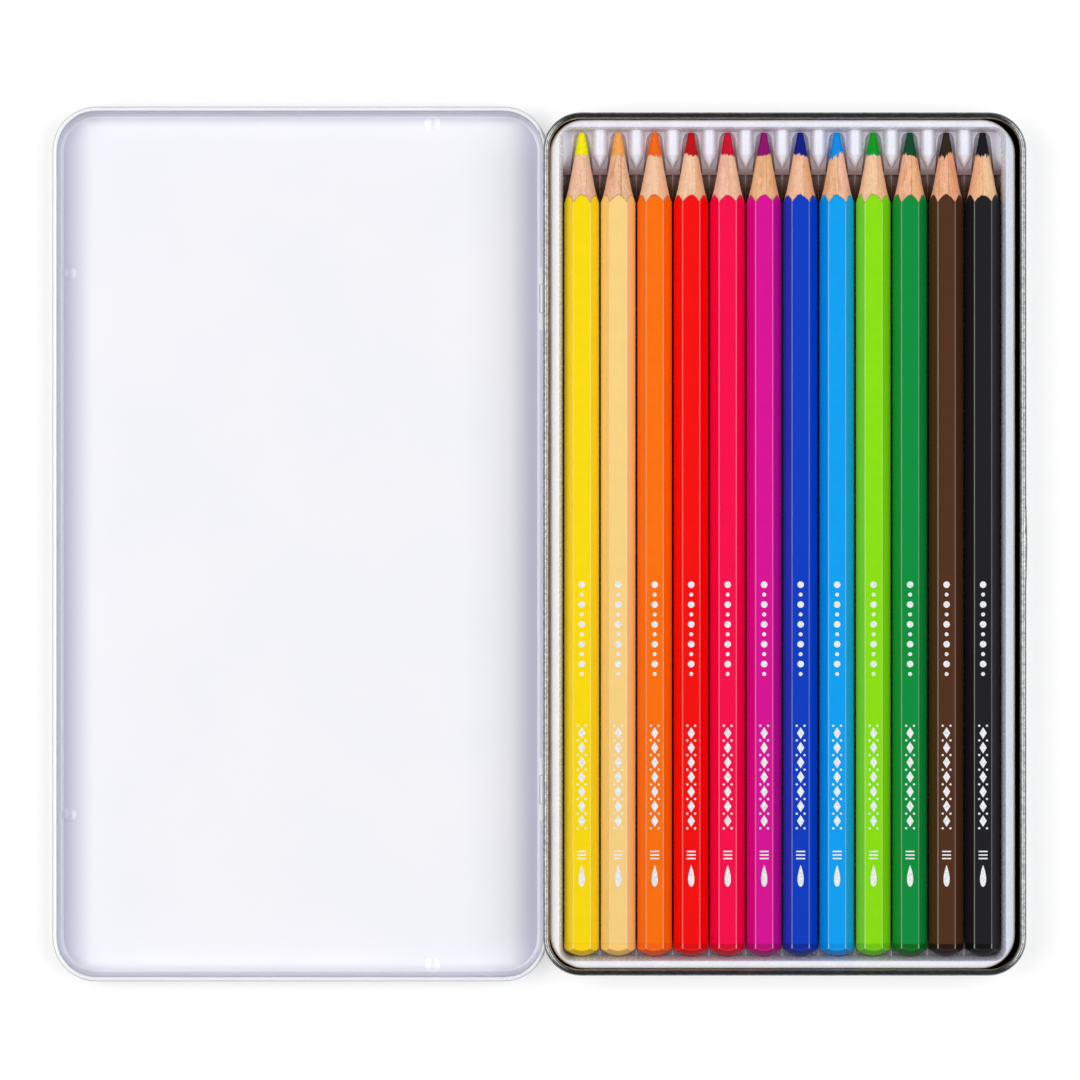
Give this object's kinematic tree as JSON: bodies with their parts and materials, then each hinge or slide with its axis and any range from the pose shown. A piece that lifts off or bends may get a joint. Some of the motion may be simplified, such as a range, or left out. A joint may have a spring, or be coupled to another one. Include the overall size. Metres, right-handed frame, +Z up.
{
  "type": "colored pencil tin",
  "caption": "Flat hinged tinplate box, open, with a white formed tray that holds a row of sharpened hexagonal coloured pencils.",
  "frame": {"origin": "middle of the underside of the base tin, which the pencils lie in", "axes": "+X from the open lid and its hinge towards the base's front edge, +Y along the pencils towards their points, +Z up"},
  "size_m": [0.2063, 0.1852, 0.0106],
  "materials": {
    "tinplate": "bright",
    "white_lacquered_tinplate": "satin",
    "white_plastic": "gloss",
    "steel_wire": "bright",
    "cedar": "sharpened",
    "yellow_lead": "waxy",
    "yellow_lacquer": "gloss",
    "peach_lead": "waxy",
    "peach_lacquer": "gloss",
    "orange_lead": "waxy",
    "orange_lacquer": "gloss",
    "red_lead": "waxy",
    "red_lacquer": "gloss",
    "raspberry_lead": "waxy",
    "raspberry_lacquer": "gloss",
    "magenta_lead": "waxy",
    "magenta_lacquer": "gloss",
    "dark_blue_lead": "waxy",
    "dark_blue_lacquer": "gloss",
    "light_blue_lead": "waxy",
    "light_blue_lacquer": "gloss",
    "lime_lead": "waxy",
    "lime_lacquer": "gloss",
    "green_lead": "waxy",
    "green_lacquer": "gloss",
    "brown_lead": "waxy",
    "brown_lacquer": "gloss",
    "black_lead": "waxy",
    "black_lacquer": "gloss"
  },
  "bodies": {
    "base": {"base_tin": "tinplate", "hinge_pins": "steel_wire"},
    "lid": {"lid": "white_lacquered_tinplate"},
    "tray": {"insert_tray": "white_plastic"},
    "yellow": {"yellow_casing": "cedar", "yellow_lead": "yellow_lead", "yellow_lacquer": "yellow_lacquer"},
    "peach": {"peach_casing": "cedar", "peach_lead": "peach_lead", "peach_lacquer": "peach_lacquer"},
    "orange": {"orange_casing": "cedar", "orange_lead": "orange_lead", "orange_lacquer": "orange_lacquer"},
    "red": {"red_casing": "cedar", "red_lead": "red_lead", "red_lacquer": "red_lacquer"},
    "raspberry": {"raspberry_casing": "cedar", "raspberry_lead": "raspberry_lead", "raspberry_lacquer": "raspberry_lacquer"},
    "magenta": {"magenta_casing": "cedar", "magenta_lead": "magenta_lead", "magenta_lacquer": "magenta_lacquer"},
    "dark_blue": {"dark_blue_casing": "cedar", "dark_blue_lead": "dark_blue_lead", "dark_blue_lacquer": "dark_blue_lacquer"},
    "light_blue": {"light_blue_casing": "cedar", "light_blue_lead": "light_blue_lead", "light_blue_lacquer": "light_blue_lacquer"},
    "lime": {"lime_casing": "cedar", "lime_lead": "lime_lead", "lime_lacquer": "lime_lacquer"},
    "green": {"green_casing": "cedar", "green_lead": "green_lead", "green_lacquer": "green_lacquer"},
    "brown": {"brown_casing": "cedar", "brown_lead": "brown_lead", "brown_lacquer": "brown_lacquer"},
    "black": {"black_casing": "cedar", "black_lead": "black_lead", "black_lacquer": "black_lacquer"}
  },
  "joints": [
    {"name": "lid_hinge", "type": "hinge", "parent": "base", "child": "lid", "pos_m": [-0.05128, 0, 0.00562], "axis": [0, -1, 0], "range_deg": [-180, 0]},
    {"name": "tray_lift", "type": "slide", "parent": "base", "child": "tray", "axis": [0, 0, 1], "range_m": [0, 0.015]},
    {"name": "yellow_lift", "type": "slide", "parent": "tray", "child": "yellow", "axis": [0, 0, 1], "range_m": [0, 0.015]},
    {"name": "peach_lift", "type": "slide", "parent": "tray", "child": "peach", "axis": [0, 0, 1], "range_m": [0, 0.015]},
    {"name": "orange_lift", "type": "slide", "parent": "tray", "child": "orange", "axis": [0, 0, 1], "range_m": [0, 0.015]},
    {"name": "red_lift", "type": "slide", "parent": "tray", "child": "red", "axis": [0, 0, 1], "range_m": [0, 0.015]},
    {"name": "raspberry_lift", "type": "slide", "parent": "tray", "child": "raspberry", "axis": [0, 0, 1], "range_m": [0, 0.015]},
    {"name": "magenta_lift", "type": "slide", "parent": "tray", "child": "magenta", "axis": [0, 0, 1], "range_m": [0, 0.015]},
    {"name": "dark_blue_lift", "type": "slide", "parent": "tray", "child": "dark_blue", "axis": [0, 0, 1], "range_m": [0, 0.015]},
    {"name": "light_blue_lift", "type": "slide", "parent": "tray", "child": "light_blue", "axis": [0, 0, 1], "range_m": [0, 0.015]},
    {"name": "lime_lift", "type": "slide", "parent": "tray", "child": "lime", "axis": [0, 0, 1], "range_m": [0, 0.015]},
    {"name": "green_lift", "type": "slide", "parent": "tray", "child": "green", "axis": [0, 0, 1], "range_m": [0, 0.015]},
    {"name": "brown_lift", "type": "slide", "parent": "tray", "child": "brown", "axis": [0, 0, 1], "range_m": [0, 0.015]},
    {"name": "black_lift", "type": "slide", "parent": "tray", "child": "black", "axis": [0, 0, 1], "range_m": [0, 0.015]}
  ]
}
